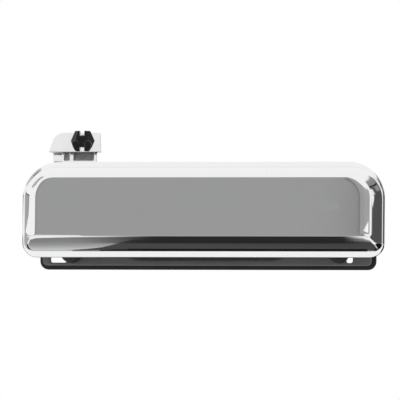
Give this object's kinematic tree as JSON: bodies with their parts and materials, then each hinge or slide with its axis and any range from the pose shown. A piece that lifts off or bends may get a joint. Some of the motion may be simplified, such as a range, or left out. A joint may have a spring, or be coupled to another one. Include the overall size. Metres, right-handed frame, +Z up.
{
  "type": "car door handle",
  "caption": "Exterior lift-up door handle: chrome paddle hinged at its top edge on a black base with a gasket, with a rear lever and swivelling rod clip.",
  "frame": {"origin": "on the gasket's rear face, where it lies on the door, midway between the two mounting studs", "axes": "+X along the handle, away from the lever; +Y into the door; +Z up, towards the hinge edge"},
  "size_m": [0.1714, 0.0445, 0.0657],
  "materials": {
    "chrome": "polished plated zinc casting",
    "lever_chrome": "satin plated zinc casting",
    "black_base": "moulded satin black",
    "rubber": "matt black",
    "clip_plastic": "semi-gloss black",
    "nylon": "natural, satin",
    "zinc_plated_steel": "bright zinc plating",
    "spring_steel": "oiled spring steel"
  },
  "bodies": {
    "base": {"base_housing": "black_base", "gasket": "rubber", "bump_stop_left": "rubber", "bump_stop_right": "rubber", "pivot_pin": "zinc_plated_steel", "retaining_clip_left": "spring_steel", "retaining_clip_right": "spring_steel", "return_spring": "spring_steel", "mounting_stud_left": "zinc_plated_steel", "mounting_stud_right": "zinc_plated_steel", "mounting_washer_left": "zinc_plated_steel", "mounting_washer_right": "zinc_plated_steel", "mounting_nut_left": "zinc_plated_steel", "mounting_nut_right": "zinc_plated_steel"},
    "paddle": {"handle_paddle": "chrome", "actuating_lever": "lever_chrome", "lever_screw_1": "zinc_plated_steel", "lever_screw_2": "zinc_plated_steel", "pivot_bushing_left": "nylon", "pivot_bushing_right": "nylon"},
    "rod_clip": {"rod_clip": "clip_plastic"}
  },
  "joints": [
    {"name": "paddle_lift", "type": "hinge", "parent": "base", "child": "paddle", "pos_m": [0, -0.012, 0.0015], "axis": [-1, 0, 0], "range_deg": [0, 30], "stiffness_Nm_per_rad": 0.25, "springref_deg": -28.65, "deforming": ["return_spring"]},
    {"name": "rod_clip_swivel", "type": "hinge", "parent": "paddle", "child": "rod_clip", "pos_m": [-0.0615, 0.0081, 0.021], "axis": [0, 1, 0], "range_deg": [-30, 30]}
  ]
}
